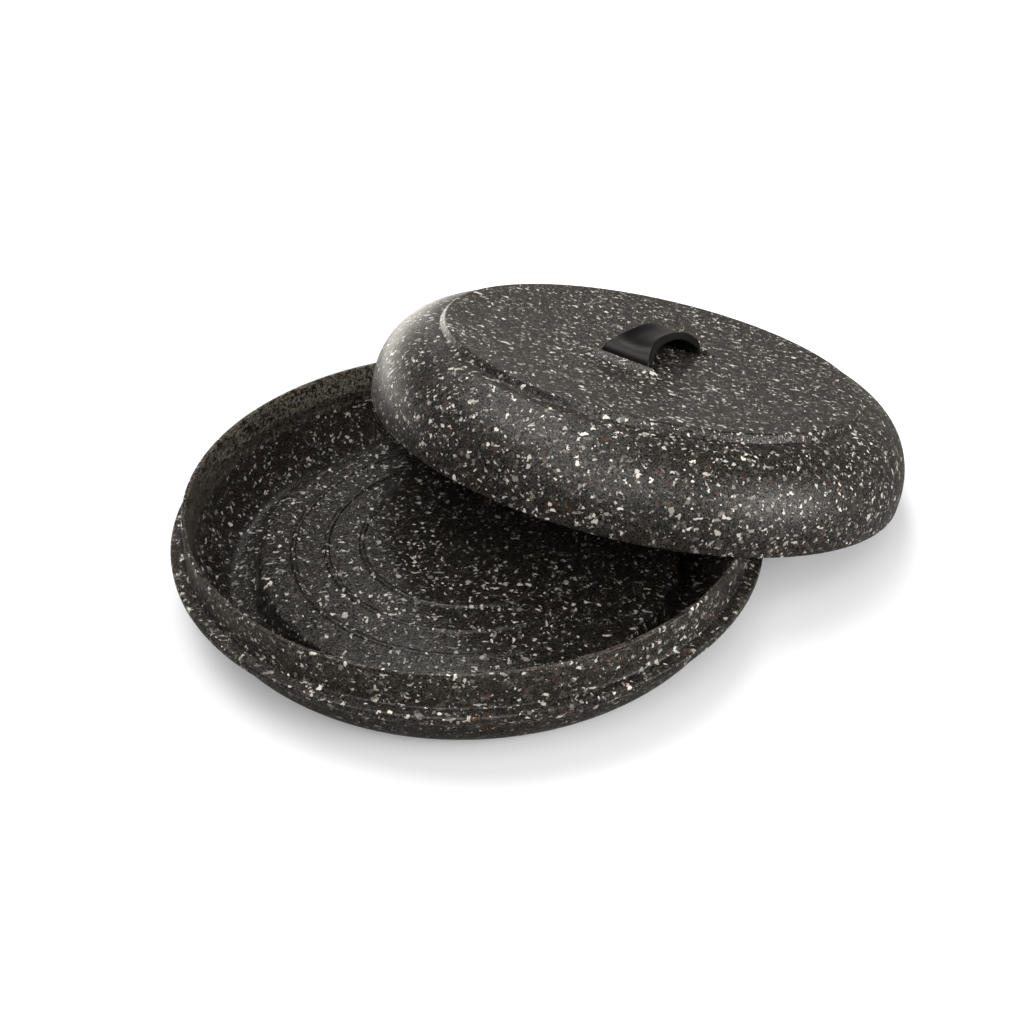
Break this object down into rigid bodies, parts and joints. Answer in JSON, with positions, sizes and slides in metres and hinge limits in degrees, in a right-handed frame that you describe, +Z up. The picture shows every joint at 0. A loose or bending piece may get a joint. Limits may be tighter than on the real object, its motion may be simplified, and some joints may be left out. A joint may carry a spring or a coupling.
{
  "type": "tortilla warmer",
  "caption": "Round serving dish with a ledge for its domed cover; the cover has a dished top and a snap-in strap handle, and lies off, leaning on the rim.",
  "frame": {"origin": "centre of the dish's foot ring, on the surface it stands on", "axes": "+Z up along the dish's axis; the cover lies off towards +X and +Y"},
  "size_m": [0.3531, 0.343, 0.0979],
  "materials": {
    "speckled_resin": "satin moulded resin with off-white, grey and reddish flakes",
    "black_satin": "satin moulded, plain black"
  },
  "bodies": {
    "dish": {"base_dish": "speckled_resin"},
    "cover": {"lid": "speckled_resin", "handle": "black_satin"}
  },
  "joints": [
    {"name": "lid_lift", "type": "slide", "parent": "dish", "child": "cover", "axis": [0, 0, 1], "range_m": [0, 0.1]}
  ]
}
